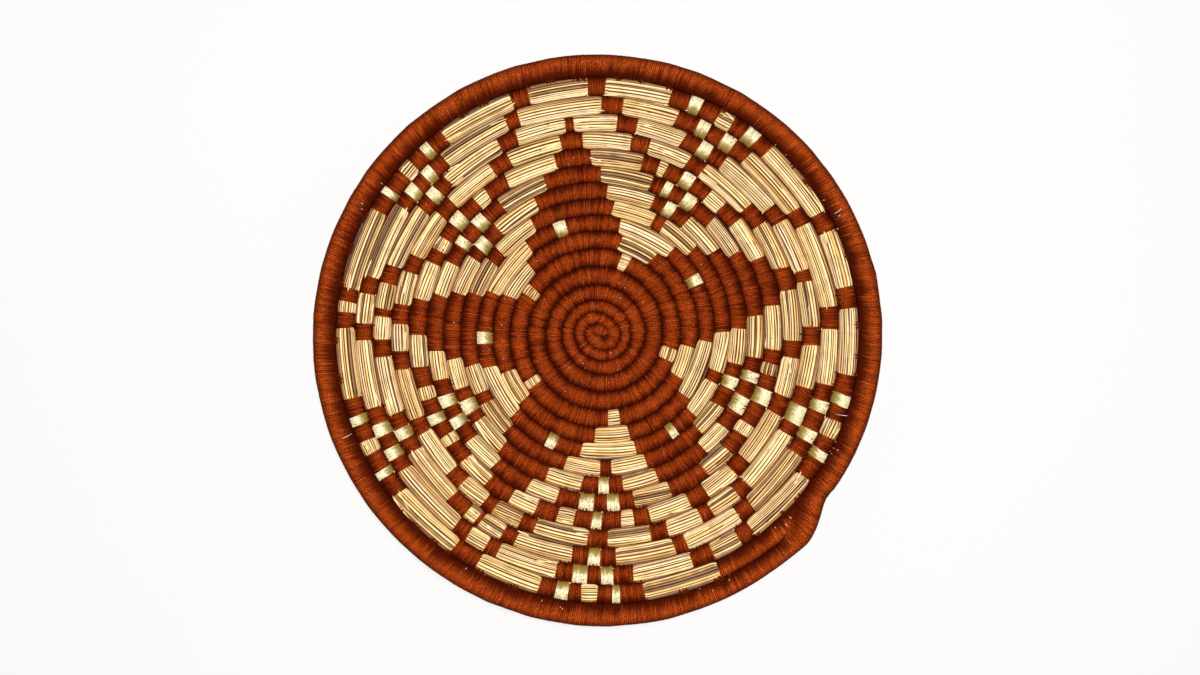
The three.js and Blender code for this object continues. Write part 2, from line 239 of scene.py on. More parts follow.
def wall_slope(along):
    rising = mix(0.0, STEEPEST_SLOPE, ease(along, WALL_STARTS, WALL_STEEPEST))
    return mix(rising, RIM_SLOPE, ease(along, WALL_STEEPEST, WALL_EASED))


def distance_along_wall(turns, radius):
    """The first turn is a small oval, and each later turn lies against the one before it."""
    oval = np.cos(2 * np.pi * (turns + EYE_TURN)) ** 2
    slack = EYE_STRETCH / EYE_FADES_OVER
    first_pitch = radius[0] + radius[STEPS_PER_TURN] + TURN_GAP + slack
    along = first_pitch * (turns + EYE_TURN) + EYE_STRETCH * oval
    fading = 1 - ease(turns, EYE_FADES_OVER, EYE_FADES_OVER + 1)
    gaps = TURN_GAP + slack * (1 - oval) * fading
    for here in range(STEPS_PER_TURN, len(turns)):
        before = here - STEPS_PER_TURN
        along[here] = along[before] + radius[before] + radius[here] + gaps[here]
    return along


def middle_line():
    """The coil's middle line from the first turn outwards, its thickness and the wall's slope."""
    first = round(SPIRAL_STARTS * STEPS_PER_TURN)
    last = round(RIM_ENDS * STEPS_PER_TURN)
    turns = np.arange(first, last + 1) / STEPS_PER_TURN
    radius = coil_radius(turns)
    along = distance_along_wall(turns, radius)
    slope = wall_slope(along)
    marks = SECTION_STEP + np.arange(0, SECTION_LENGTH, SECTION_STEP)
    middles = wall_slope(marks - SECTION_STEP / 2)
    out = np.interp(along, marks, np.cumsum(np.cos(middles)) * SECTION_STEP)
    up = np.interp(along, marks, np.cumsum(np.sin(middles)) * SECTION_STEP)
    rest = coil_radius(np.minimum(turns, RIM_STARTS)) * np.sin(LYING_ANGLE + slope)
    angle = 2 * np.pi * turns
    rim_share = ease(turns, *RIM_STRAYS)
    out = out + np.interp(turns, STRAY_TURNS, STRAY_OUTWARDS)
    out = out + STRAY_ROUNDNESS * rim_share * np.cos(2 * angle)
    out = out + STRAY_SLANT * rim_share * np.sin(2 * angle)
    out = out - TAIL_TUCK * ease(turns, RIM_SHOULDER, RIM_ENDS)
    x = SPIRAL_MIDDLE[0] + STRAY_RIM[0] * rim_share + out * np.cos(angle)
    y = SPIRAL_MIDDLE[1] + STRAY_RIM[1] * rim_share + out * np.sin(angle)
    return turns, np.column_stack([x, y, up + rest]), radius, slope


def spare_room(centre, radius):
    """Half the room left between a place and the turns beside it, which soft thread fills."""
    one_on = np.linalg.norm(centre[STEPS_PER_TURN:] - centre[:-STEPS_PER_TURN], axis=1)
    gaps = one_on - radius[STEPS_PER_TURN:] - radius[:-STEPS_PER_TURN]
    outer = np.concatenate([gaps, gaps[-STEPS_PER_TURN:]])
    inner = np.concatenate([gaps[:STEPS_PER_TURN], gaps])
    return np.clip((outer + inner) / 4, 0.0, MOST_SPARE)


def lead_in(centre):
    """The start of the coil, a smooth curve from its tip into the first turn."""
    share = np.linspace(0, 1, LEAD_STEPS, endpoint=False)[:, None]
    onwards = centre[1] - centre[0]
    onwards = onwards / np.linalg.norm(onwards)
    middle = np.array([*SPIRAL_MIDDLE, centre[0, 2]])
    tip = middle + np.array([*LEAD_TIP, 0.0])
    bow = middle + np.array([*LEAD_BOW, 0.0])
    pull = centre[0] - LEAD_PULL * onwards
    return ((1 - share) ** 3 * tip + 3 * (1 - share) ** 2 * share * bow
            + 3 * (1 - share) * share ** 2 * pull + share ** 3 * centre[0])


def bind_tail(turns, centre, across, wide, high):
    """The last wraps go round the rim as well, so that the coil's end melts into it."""
    share = ease(turns, *TAIL_BOUND)
    before = np.maximum(np.arange(len(turns)) - STEPS_PER_TURN, 0)
    apart = np.linalg.norm(centre - centre[before], axis=1)
    reach = share * (apart + wide[before] - wide + BINDING_ROOM)
    taller = np.maximum(high, BINDING_HEIGHT * high[before])
    moved = centre - across * (reach / 2)[:, None]
    # The last value is how far the painted groove shade is lifted along the binding
    return moved, wide + reach / 2, mix(high, taller, share), 4 * share * (1 - share)


# The columns of a row of wind_spiral
CENTRE, ACROSS, AWAY, FORWARD = slice(0, 3), slice(3, 6), slice(6, 9), slice(9, 12)
WIDE, HIGH, LENGTH, LIT = range(12, 16)


def wind_spiral():
    """Every place on the coil's middle line: its turn, and a row of numbers for each."""
    turns, centre, radius, slope = middle_line()
    spare = spare_room(centre, radius)
    joined = turns >= LEAD_JOINS
    parts = [part[joined] for part in (turns, centre, radius, slope, spare)]
    turns, centre, radius, slope, spare = parts
    share = np.linspace(1, 0, LEAD_STEPS, endpoint=False)
    leads = (np.linspace(LEAD_STARTS, turns[0], LEAD_STEPS, endpoint=False), lead_in(centre),
             radius[0] * np.sqrt(1 - LEAD_TIP_THINNED * share ** LEAD_BLUNTNESS),
             np.full(LEAD_STEPS, slope[0]), np.full(LEAD_STEPS, spare[0]))
    turns, centre, radius, slope, spare = map(np.concatenate, zip(leads, parts))

    forward = np.gradient(centre, axis=0)
    step = np.linalg.norm(forward, axis=1)
    forward = forward / step[:, None]
    flat = np.hypot(forward[:, 0], forward[:, 1])
    outward = np.column_stack([forward[:, 1], -forward[:, 0], 0 * flat]) / flat[:, None]
    upward = np.array([0.0, 0.0, 1.0])
    cos, sin = np.cos(slope)[:, None], np.sin(slope)[:, None]
    across = outward * cos + upward * sin
    away = upward * cos - outward * sin
    length = np.cumsum(step)
    high = radius * np.sin(LYING_ANGLE + slope)
    filling = EYE_FILL * (1 - ease(turns, *EYE_FILL_FADES)) * radius / START_RADIUS
    wide = radius + spare + filling
    centre, wide, high, lit = bind_tail(turns, centre, across, wide, high)
    return turns, np.column_stack([centre, across, away, forward, wide, high, length, lit])


SPIRAL_TURNS, SPIRAL_ROWS = wind_spiral()
SPIRAL_LENGTHS = SPIRAL_ROWS[:, LENGTH]


def length_at(turn):
    return float(np.interp(turn, SPIRAL_TURNS, SPIRAL_LENGTHS))


class Stretch:
    """Stations on the coil at a list of lengths from its start."""

    def __init__(self, lengths):
        rows = [np.interp(lengths, SPIRAL_LENGTHS, column) for column in SPIRAL_ROWS.T]
        rows = np.array(rows).T[:, None, :]
        self.centre, self.across = rows[..., CENTRE], rows[..., ACROSS]
        self.away, self.forward = rows[..., AWAY], rows[..., FORWARD]
        self.wide, self.high, self.lit = rows[..., WIDE], rows[..., HIGH], rows[..., LIT]

    def points(self, sideways, upwards, onwards=0.0):
        """Points at distances across, away from and along the coil, kept above the floor."""
        sideways, upwards = np.broadcast_arrays(sideways, upwards)
        onwards = np.broadcast_to(onwards, sideways.shape)
        placed = (self.centre + self.across * sideways[..., None]
                  + self.away * upwards[..., None] + self.forward * onwards[..., None])
        placed[..., 2] = np.maximum(placed[..., 2], 0.0)
        return placed


def read_chart():
    """The chart as a list of (kind, row, start turn, end turn, angle of its middle)."""
    entries = []
    start = CENTRE_ENDS
    for row, words in CHART.items():
        for word in words.split():
            end = row + float(word[1:]) / 360
            entries.append((word[0], row, start, end, ((start + end) / 2 - row) * 360))
            start = end
    return entries


ENTRIES = read_chart()


def nearest(angle, axes):
    """Which of five axes an angle is nearest to, all the way round."""
    gaps = [abs((angle - axis + 180) % 360 - 180) for axis in axes]
    return gaps.index(min(gaps))


def stretches(kinds, axes=None, axis=None, rows=CHART_ROWS):
    """The chart's entries of some kinds, in some rows, nearest to one of five axes."""
    found = []
    for kind, row, start, end, angle in ENTRIES:
        if kind in kinds and row in rows:
            if axes is None or nearest(angle, axes) == axis:
                found.append((start, end))
    return found


# Meshes

LARGEST_PART = 2500
WELD_DISTANCE = 1e-7


def new_net():
    """An empty mesh whose points carry a shade, which is a tone of their colour, and a random
    speckle with painted shade, which darkens them.
    """
    net = bmesh.new()
    for name in ("shade", "speckle_and_painted_shade"):
        net.verts.layers.float.new(name)
    return net


def add_object(name, content):
    """A new object in the scene."""
    made = bpy.data.objects.new(name, content)
    bpy.context.scene.collection.objects.link(made)
    return made


class Weaving:
    """A mesh that grows tube by tube, with its own dice. Tubes are rolled in a small net that is
    added to the whole now and then, because an operator takes longer the larger its net is."""

    def __init__(self, name):
        self.name = name
        self.dice = np.random.default_rng([ord(letter) for letter in name])
        self.whole = new_net()
        self.part = new_net()

    def gather(self):
        mesh = bpy.data.meshes.new("part")
        self.part.to_mesh(mesh)
        self.part.free()
        self.whole.from_mesh(mesh)
        bpy.data.meshes.remove(mesh)
        self.part = new_net()

    def roll_tube(self, points, shades, crests):
        """Rolls a flat net into a tube through rings of points and welds its seam and ends."""
        net = self.part
        rings, sides = points.shape[:2]
        flat = bmesh.ops.create_grid(net, x_segments=rings - 1, y_segments=sides, size=0.5)
        shade, speckle_and_painted_shade = net.verts.layers.float["shade"], net.verts.layers.float["speckle_and_painted_shade"]
        places = points.tolist()
        shades = np.broadcast_to(shades, rings).tolist()
        # crests are a random speckle with painted shade, which the finishes use to darken the
        # colour
        crests = np.broadcast_to(crests, (rings, sides)).tolist()
        seam = []
        for number, vert in enumerate(flat["verts"]):
            side, ring = divmod(number, rings)
            vert.co = places[ring][side % sides]
            vert[shade] = shades[ring]
            vert[speckle_and_painted_shade] = crests[ring][side % sides]
            if side in (0, sides) or ring in (0, rings - 1):
                seam.append(vert)
        bmesh.ops.remove_doubles(net, verts=seam, dist=WELD_DISTANCE)
        if len(net.verts) > LARGEST_PART:
            self.gather()

    def finish(self, build_finish, slot=None, nodes=()):
        """Turns the weaving into a smooth piece of the basket that rides on its one body."""
        self.gather()
        mesh = bpy.data.meshes.new(self.name)
        self.whole.to_mesh(mesh)
        self.whole.free()
        self.part.free()
        mesh.shade_smooth()
        mesh.materials.append(finish_from(build_finish))
        piece = add_object(self.name, mesh)
        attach(piece, "root")
        if nodes:
            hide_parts(*nodes)


# Thread. A drift is the step along the coil at which a value is drawn anew, and its spread.
TONE_DRIFT = (2.5 * MM, 0.04)
SWELLING_DRIFT = (8 * MM, 0.12 * MM)
SHADOW_DRIFT = (3 * MM, 0.10)
OWN_SPREAD = 0.12
SPACING_SPREAD = 0.07
CREST_SPREAD = 0.2
LEAN = -0.2 * MM
LEAN_SPREAD = 1.4
TURN_LEAN_SPREAD = 0.15 * MM
DARKEST_SPECKLE = 0.4
# How much of the painted groove shade is lifted on the inner side where the tail is bound
TAIL_LIGHT = 0.7


def drift_along(dice, ends, places, drift, middle=0.0):
    """A value at some places, which drifts along the coil between two ends."""
    step, spread = drift
    knots = np.arange(ends[0] - step, ends[1] + step + MM, step)
    return np.interp(places, knots, dice.normal(middle, spread, len(knots)))


def wind_thread(weaving, start, end, winding):
    """One stretch of the coil wrapped in thread, with a groove between any two turns of it."""
    sizes, dice = bpy.context.scene.basket_sizes, weaving.dice
    ends = length_at(start), length_at(end)
    count = max(2, round((ends[1] - ends[0]) / sizes.thread_width))
    grooves = np.linspace(*ends, count + 1)
    grooves[1:-1] += dice.normal(0, SPACING_SPREAD * sizes.thread_width, count - 1)
    crests = (grooves[:-1] + grooves[1:]) / 2
    lengths = np.sort(np.concatenate([ends, grooves, crests]))
    stands = np.zeros(len(lengths))
    stands[2:-1:2] = 1 + dice.normal(0, CREST_SPREAD, count)
    tones = drift_along(dice, ends, crests, TONE_DRIFT, winding.tone)
    tones = np.clip(tones + dice.normal(0, OWN_SPREAD, count), 0, 1)
    shades = np.concatenate([tones[:1], np.repeat(tones, 2), tones[-1:], tones[-1:]])
    # Painted shade: the grooves between turns are darkened, and a random speckle darkens points
    # here and there
    groove_light = dice.uniform(*winding.groove_light, len(lengths))
    painted_groove_shade_and_speckle = np.clip(mix(groove_light, 1.0, stands), 0, 1)[:, None]
    speckle = dice.uniform(0, 1, (len(lengths), winding.sides)) ** 2
    painted_groove_shade_and_speckle = painted_groove_shade_and_speckle * (1 - DARKEST_SPECKLE * speckle)
    swelling = drift_along(dice, ends, lengths, SWELLING_DRIFT)
    spread = drift_along(dice, ends, lengths, SHADOW_DRIFT)
    spread = spread + dice.normal(0, OWN_SPREAD, len(lengths))

    stretch = Stretch(lengths)
    around = 2 * np.pi * np.arange(winding.sides) / winding.sides
    out = (sizes.wrap_fullness + sizes.thread_depth * (stands - 1) + swelling)[:, None]
    lean = LEAN * dice.normal(1, LEAN_SPREAD)
    lean = (lean + TURN_LEAN_SPREAD * dice.normal(0, 1, len(lengths)))[:, None]
    filled = np.ones((len(lengths), 1))
    filled[0] = filled[-1] = 0
    rough = winding.raggedness * dice.normal(0, 1, lean.shape)
    wide = (stretch.wide + out + winding.bulge + rough) * filled
    tall = (stretch.high + out) * filled
    points = stretch.points(wide * np.cos(around), tall * np.sin(around),
                            lean * filled * np.cos(around))
    # The coil's painted shadows, partly lifted on the inner side of the bound tail
    opened = TAIL_LIGHT * stretch.lit * ease(-np.cos(around), -0.3, 0.5)
    shadow = mix(winding.shadows(around, spread[:, None]), 1.0, opened)
    weaving.roll_tube(points, shades, painted_groove_shade_and_speckle * shadow)


def coil_shadows(around, spread):
    """Painted shade for a coil that has a neighbour on either side: the thread darkens towards the
    grooves between coils.
    """
    crest_ends, groove_starts, groove_dark = 0.14, 0.98, 0.94
    aside = np.abs(np.cos(around))
    return 1 - groove_dark * ease(aside, crest_ends + spread, groove_starts + spread)


def gold_shadows(around, spread):
    """Painted shade on the ribbon: it stays bright on its crest and outwards, darkens to olive at
    its inner end, and dims a little at its outer end.
    """
    painted_shade_starts, painted_shade_full, painted_shade_dark, outer_dark = 0.26, 0.66, 0.92, 0.3
    place = np.cos(around + RIM_SLOPE)
    inner_side = 1 - painted_shade_dark * ease(-place, painted_shade_starts + spread, painted_shade_full + spread)
    return inner_side * (1 - outer_dark * ease(place, 0.7, 1.05))


def rim_shadows(around, spread):
    """Painted shade and highlight on the rim: dark on its inner side, brightest beyond its crest,
    and dim underneath.
    """
    inner_light, outer_dark, under_light, under_dark = 0.11, 0.82, 0.24, 0.8
    place = np.cos(around + RIM_SLOPE)
    inner_side = mix(inner_light, 1.0, ease(place, -0.8 + spread, 0.3 + spread))
    above = inner_side * (1 - outer_dark * ease(place, 0.18, 1.02))
    under = under_light * (1 - under_dark * ease(-place, 0.3, 0.95))
    return mix(above, under, ease(-np.sin(around + RIM_SLOPE), 0.0, 0.3))


# Straw. A bundle is pinched where its stems go in under the wraps.
STRAW_TUCK = 1.2 * MM
PINCH_LENGTH = 2.4 * MM
PINCH_DEPTH = 0.7 * MM
FULL_SWELL_LENGTH = 8 * MM
FULL_TWIST_LENGTH = 15 * MM
RING_STEP = 4 * MM
CORE_SHARE = 0.78
STEM_SIDES = 6
STEM_OVERLAP = 0.95
THINNEST_STEM = 0.3 * MM
STRAY_CHANCE = 0.12
AGED_CHANCE = 0.14
STEM_PAINTED_SHADE_POWERS = (1.5, 4.0, 8.0)


def lay_straws(weaving, start, end):
    """One bare stretch: a ring of stems that swells between two wraps, round a core painted dark,
    which stands in for the shade between the stems.
    """
    sizes, dice = bpy.context.scene.basket_sizes, weaving.dice
    low, high = length_at(start) - STRAW_TUCK, length_at(end) + STRAW_TUCK
    rings = max(5, 2 + math.ceil((high - low) / RING_STEP))
    share = np.linspace(0, 1, rings)[:, None]
    stretch = Stretch(low + (high - low) * share[:, 0])
    bare = high - low - 2 * STRAW_TUCK
    swell = sizes.straw_fullness * min(1.0, bare / FULL_SWELL_LENGTH)
    pinch = np.minimum(share, 1 - share) * (high - low) / PINCH_LENGTH
    fullness = mix(-PINCH_DEPTH, swell, np.sqrt(np.clip(pinch, 0, 1)))
    wide, tall = stretch.wide + fullness, stretch.high + fullness
    from_middle = np.linalg.norm(stretch.centre[..., :2] - SPIRAL_MIDDLE, axis=-1)
    bow = sizes.straw_stiffness * bare ** 2 / (8 * from_middle) * (1 - (2 * share - 1) ** 2)

    # The core is painted dark, as painted shade that shows in the gaps between stems
    core = np.linspace(0, 2 * np.pi, 8, endpoint=False)
    weaving.roll_tube(stretch.points(CORE_SHARE * wide * np.cos(core) - bow,
                                     CORE_SHARE * tall * np.sin(core)), shades=0.15, crests=0.0)

    mean_radius = float(np.mean(stretch.wide)) - sizes.straw_width / 2
    count = max(12, round(2 * np.pi * mean_radius / (sizes.straw_width * STEM_OVERLAP)))
    widths = dice.uniform(0.5, 1.6, count)
    edges = np.concatenate([[0], np.cumsum(widths)]) * 2 * np.pi / widths.sum()
    turned = dice.uniform(0, 2 * np.pi)
    around = 2 * np.pi * np.arange(STEM_SIDES) / STEM_SIDES
    outwards = 0.5 - 0.5 * np.cos(around)
    bundle_tone = dice.normal(0.46, 0.13)
    bundle_light = dice.uniform(0.84, 1.06)
    length_share = min(1.0, bare / FULL_TWIST_LENGTH)
    twist = dice.normal(0, 0.14) * length_share
    for near, far in zip(edges[:-1], edges[1:]):
        half = max(THINNEST_STEM, 0.5 * (far - near) * mean_radius)
        place = turned + (near + far) / 2
        stray = 0.12 if dice.uniform() < STRAY_CHANCE else 0.025
        drift = twist + dice.normal(0, stray) * length_share
        bend = dice.normal(0, 0.012)
        lift = dice.normal(0, 0.16 * MM) * np.sin(np.pi * share)
        angle = place + drift * (share - 0.5) + bend * np.sin(2 * np.pi * share)
        facing = angle + math.pi + around
        sideways = (wide + lift - half) * np.cos(angle) + half * np.cos(facing) - bow
        upwards = (tall + lift - half) * np.sin(angle) + half * np.sin(facing)
        aged = 0.42 if dice.uniform() < AGED_CHANCE else 0.0
        tone = dice.normal(bundle_tone, 0.2) - aged
        shade = np.clip(tone + dice.normal(0, 0.02, rings), 0, 1)
        # Painted shade: each stem darkens on its side towards the core, with a random brightness,
        # and each bundle darkens at its sides, where the rows meet, with a random brightness of its
        # own
        stem_tone_and_painted_shade = outwards ** dice.choice(STEM_PAINTED_SHADE_POWERS) * dice.uniform(0.8, 1.2)
        shadow = bundle_light * (1 - 0.8 * ease(np.abs(np.cos(angle)), 0.74, 1.0))
        weaving.roll_tube(stretch.points(sideways, upwards), shade, stem_tone_and_painted_shade * shadow)


def sew_strand(weaving, path, half, shade, speckle_and_painted_shade=1.0, sides=4):
    """A thin strand along a row of places, pointed at both ends."""
    path = np.asarray(path)
    onwards = np.gradient(path, axis=0)
    onwards = onwards / np.linalg.norm(onwards, axis=1)[:, None]
    side = np.cross(onwards, (0.0, 0.0, 1.0))
    side = side / np.maximum(np.linalg.norm(side, axis=1), 1e-6)[:, None]
    up = np.cross(side, onwards)
    around = 2 * np.pi * np.arange(sides)[:, None] / sides
    full = np.ones((len(path), 1, 1))
    full[0] = full[-1] = 0
    ring = side[:, None] * np.cos(around) + up[:, None] * np.sin(around)
    weaving.roll_tube(path[:, None] + half * full * ring, shade, speckle_and_painted_shade)


def on_coil(turns, places, lift=0.0):
    """Places on the coil's surface, from turns, angles round the coil and a height over it."""
    stretch = Stretch(np.interp(np.atleast_1d(turns), SPIRAL_TURNS, SPIRAL_LENGTHS))
    places = np.reshape(places, (-1, 1))
    return stretch.points((stretch.wide + lift) * np.cos(places),
                          (stretch.high + lift) * np.sin(places))[:, 0]


# Where a thread leaves its own coil to dip into the one inside, in degrees round it
FOOT_STARTS, FOOT_RISES, FOOT_CROSSES = 128, 146, 158
FOOT_LIFT = 0.3 * MM
FOOT_HALF = 0.4 * MM
FOOT_DRIFT = 0.0006


def sew_feet(weaving, turns, reaches):
    """Turns of thread that dip into the coil inside, as far as their reaches say."""
    turns, reaches, dice = np.array(turns), np.array(reaches), weaving.dice
    inside = turns - 1 + dice.normal(0, FOOT_DRIFT, len(turns))
    landing = np.arccos(1 - reaches)
    bridge = mix(on_coil(turns, math.radians(FOOT_CROSSES), FOOT_LIFT),
                 on_coil(inside, 0.6 * landing, FOOT_LIFT), 0.5)
    paths = np.stack([on_coil(turns, math.radians(FOOT_STARTS)),
                      on_coil(turns, math.radians(FOOT_RISES), FOOT_LIFT), bridge,
                      on_coil(inside, 0.85 * landing, FOOT_LIFT),
                      on_coil(inside, landing + 0.05, -FOOT_LIFT)], axis=1)
    for path in paths:
        # The feet are darkened with painted shade, where they dip into the groove between coils
        sew_strand(weaving, path, FOOT_HALF, dice.uniform(0.0, 0.4), dice.uniform(0.2, 0.6))


def wrap_feet(places, dice, share):
    """Where some of the turns of each wrap pierce the coil inside, and how far."""
    width = bpy.context.scene.basket_sizes.thread_width
    turns, reaches = [], []
    for start, end in places:
        count = round((length_at(end) - length_at(start)) / width)
        lower_side = ease(-math.sin(math.pi * (start + end)), 0.0, 0.7)
        pierced = np.flatnonzero(dice.uniform(size=count) < share * mix(0.15, 1.0, lower_side))
        turns.extend(mix(start, end, (pierced + 0.5) / count))
        reaches.extend(dice.uniform(0.05, 0.20, len(pierced)))
    return turns, reaches


def rim_feet(dice):
    """Here and there a few neighbouring turns of the rim's thread pierce the row inside."""
    width = bpy.context.scene.basket_sizes.thread_width
    per_turn = length_at(RIM_SHOULDER) - length_at(RIM_SHOULDER - 1)
    bare_inside = stretches("b", rows=range(15, 16))
    turns, reaches = [], []
    turn = RIM_STARTS + 0.02
    while turn < RIM_SHOULDER:
        count = dice.integers(3, 8)
        deepest = dice.uniform(0.12, 0.36)
        for number in range(count):
            bulge = math.sin(math.pi * (number + 1) / (count + 1)) ** 0.4
            if any(start < turn - 1 < end for start, end in bare_inside):
                turns.append(turn)
                reaches.append(max(0.05, deepest * bulge * dice.uniform(0.75, 1.05)))
            turn += width / per_turn
        turn += dice.uniform(5, 26) * MM / per_turn
    return turns, reaches


def lay_sliver(weaving, turn, place, length, skew, half, lift):
    """A sliver of stem that lies on the coil, turned away from its direction by a skew."""
    stretch = Stretch([length_at(turn)])
    middle = stretch.points((stretch.wide + lift) * math.cos(place),
                            (stretch.high + lift) * math.sin(place))[0, 0]
    forward, across = stretch.forward[0, 0], stretch.across[0, 0] * -math.sin(place)
    across = across + stretch.away[0, 0] * math.cos(place)
    heading = forward * math.cos(skew) + across * math.sin(skew)
    share = np.linspace(-0.5, 0.5, 4)[:, None]
    path = middle + heading * length * share
    sew_strand(weaving, path, half, weaving.dice.uniform(0.6, 0.95))


# Finishes

WHITE = (1.0, 1.0, 1.0)


class Finish:
    """One material, and the nodes that colour it in the basket's own coordinates."""

    def __init__(self, name):
        self.material = bpy.data.materials.new(name)
        self.material.use_nodes = True
        self.nodes = self.material.node_tree.nodes
        self.links = self.material.node_tree.links
        self.shader = self.nodes["Principled BSDF"]

    def add(self, kind, **values):
        """A new node of some kind, with values for its sockets."""
        node = self.nodes.new(kind)
        for socket, value in values.items():
            node.inputs[socket].default_value = value
        return node

    def noise(self, scale, detail, roughness=0.5):
        coords = self.add("ShaderNodeTexCoord")
        noise = self.add("ShaderNodeTexNoise", Scale=scale, Detail=detail, Roughness=roughness)
        self.links.new(coords.outputs["Object"], noise.inputs["Vector"])
        return noise.outputs["Fac"]

    def mark(self, name):
        """A value that the points of the mesh carry."""
        mark = self.add("ShaderNodeAttribute")
        mark.attribute_name = name
        return mark.outputs["Fac"]

    def ramp(self, source, *stops):
        """A colour ramp over a value, from (position, colour) stops."""
        ramp = self.add("ShaderNodeValToRGB")
        elements = ramp.color_ramp.elements
        while len(elements) < len(stops):
            elements.new(0.5)
        for element, (position, colour) in zip(elements, stops):
            element.position = position
            element.color = (*colour, 1.0)
        self.links.new(source, ramp.inputs["Fac"])
        return ramp.outputs["Color"]

    def mix(self, share, first, second, blend="MIX"):
        node = self.add("ShaderNodeMix")
        node.data_type = "RGBA"
        node.blend_type = blend
        for socket, value in (("Factor", share), ("A", first), ("B", second)):
            target = next(one for one in node.inputs if one.name == socket and one.enabled)
            if isinstance(value, bpy.types.NodeSocket):
                self.links.new(value, target)
            else:
                target.default_value = value if socket == "Factor" else (*value, 1.0)
        return next(one for one in node.outputs if one.enabled)

    def multiply(self, first, second):
        return self.mix(1.0, first, second, "MULTIPLY")

    def bump(self, height, strength, distance):
        bump = self.add("ShaderNodeBump", Strength=strength, Distance=distance)
        self.links.new(height, bump.inputs["Height"])
        self.links.new(bump.outputs["Normal"], self.shader.inputs["Normal"])

    def shade(self, colour, roughness, specular=0.5, metallic=0.0):
        """Gives the shader its colour and its gloss."""
        self.links.new(colour, self.shader.inputs["Base Color"])
        self.shader.inputs["Roughness"].default_value = roughness
        self.shader.inputs["Specular IOR Level"].default_value = specular
        self.shader.inputs["Metallic"].default_value = metallic
        return self.material


def rust_thread_finish(name):
    """Matt rust thread: each turn a little different, speckled with fibres, with painted shade in
    the grooves.
    """
    colours = bpy.context.scene.basket_colours
    finish = Finish(name)
    own = finish.ramp(finish.mark("shade"), (0.0, colours.thread_dark),
                      (1.0, colours.thread_bright))
    blotches = finish.noise(scale=120.0, detail=4.0)
    worn = finish.ramp(blotches, (0.3, (0.82, 0.78, 0.78)), (0.7, WHITE))
    fibres = finish.noise(scale=1400.0, detail=4.0, roughness=0.7)
    speckle = finish.ramp(fibres, (0.39, (0.34, 0.24, 0.20)), (0.59, WHITE))
    speckled = finish.multiply(finish.multiply(own, worn), speckle)
    colour = finish.mix(finish.mark("speckle_and_painted_shade"), colours.thread_groove, speckled)
    finish.bump(fibres, strength=0.4, distance=0.2 * MM)
    return finish.shade(colour, roughness=0.9, specular=0.03)


def gold_thread_finish(name):
    """Pale metallic ribbon, creased, with painted glints and painted dark folds along the creases,
    and painted shade towards its inner end.
    """
    colours = bpy.context.scene.basket_colours
    finish = Finish(name)
    dull = tuple(0.7 * part for part in colours.gold)
    own = finish.ramp(finish.mark("shade"), (0.0, dull), (0.5, colours.gold),
                      (1.0, (1.0, 0.94, 0.76)))
    creases = finish.noise(scale=1100.0, detail=4.0, roughness=0.7)
    painted_crease_glints_and_shade = finish.ramp(creases, (0.40, (0.28, 0.18, 0.04)), (0.44, (0.92, 0.84, 0.55)),
                        (0.48, WHITE))
    gold_with_painted_creases = finish.multiply(own, painted_crease_glints_and_shade)
    colour = finish.mix(finish.mark("speckle_and_painted_shade"), colours.gold_groove, gold_with_painted_creases)
    finish.bump(creases, strength=0.5, distance=0.25 * MM)
    return finish.shade(colour, roughness=0.45, specular=0.3, metallic=0.05)


def dry_straw_finish(name):
    """Dry grass: stems of brown, golden, cream or pinkish tone, stained and finely grained, with
    painted shade in the gaps between stems and rows.
    """
    finish = Finish(name)
    own = finish.ramp(
        finish.mark("shade"),
        (0.0, (0.26, 0.13, 0.035)), (0.12, (0.80, 0.49, 0.16)), (0.35, (1.0, 0.74, 0.31)),
        (0.6, (1.0, 0.84, 0.46)), (0.78, (1.0, 0.74, 0.37)), (0.9, (1.0, 0.77, 0.53)),
        (1.0, (0.88, 0.70, 0.32)))
    stains = finish.noise(scale=160.0, detail=5.0)
    worn = finish.ramp(stains, (0.3, (0.80, 0.72, 0.62)), (0.55, WHITE))
    painted_gap_shade = finish.ramp(finish.mark("speckle_and_painted_shade"), (0.0, (0.10, 0.022, 0.004)),
                        (0.35, (0.52, 0.30, 0.11)), (0.65, WHITE))
    colour = finish.multiply(finish.multiply(own, worn), painted_gap_shade)
    grain = finish.noise(scale=1800.0, detail=3.0)
    finish.bump(grain, strength=0.2, distance=0.1 * MM)
    return finish.shade(colour, roughness=0.4, specular=0.35)


def white_thread_finish(name):
    """Pale sewing thread and lint."""
    finish = Finish(name)
    twist = finish.noise(scale=2000.0, detail=2.0)
    colour = finish.ramp(twist, (0.3, (0.95, 0.72, 0.60)), (0.7, (1.0, 0.92, 0.84)))
    return finish.shade(colour, roughness=0.6)


def floor_finish(name):
    pale = bpy.context.scene.basket_studio.floor_colour
    finish = Finish(name)
    grain = finish.noise(scale=3.0, detail=2.0)
    colour = finish.ramp(grain, (0.0, tuple(0.985 * part for part in pale)), (1.0, pale))
    return finish.shade(colour, roughness=0.9)


def finish_from(build):
    """The material that a function builds, which has its name and is built only once."""
    return bpy.data.materials.get(build.__name__) or build(build.__name__)


# Ways of winding thread: its painted shadows, how bright its turns are, how bright the painted
# shade in its grooves is, how ragged its ends are, how far it bulges sideways, and how many sides a
# turn has
Winding = namedtuple("Winding", "slot finish shadows tone groove_light raggedness bulge sides")
PATTERN_WINDING = Winding("rust_thread", rust_thread_finish, coil_shadows, tone=0.46,
                          groove_light=(0.0, 0.4), raggedness=0.0, bulge=0.3 * MM, sides=20)
STAR_WINDING = PATTERN_WINDING._replace(tone=0.56)
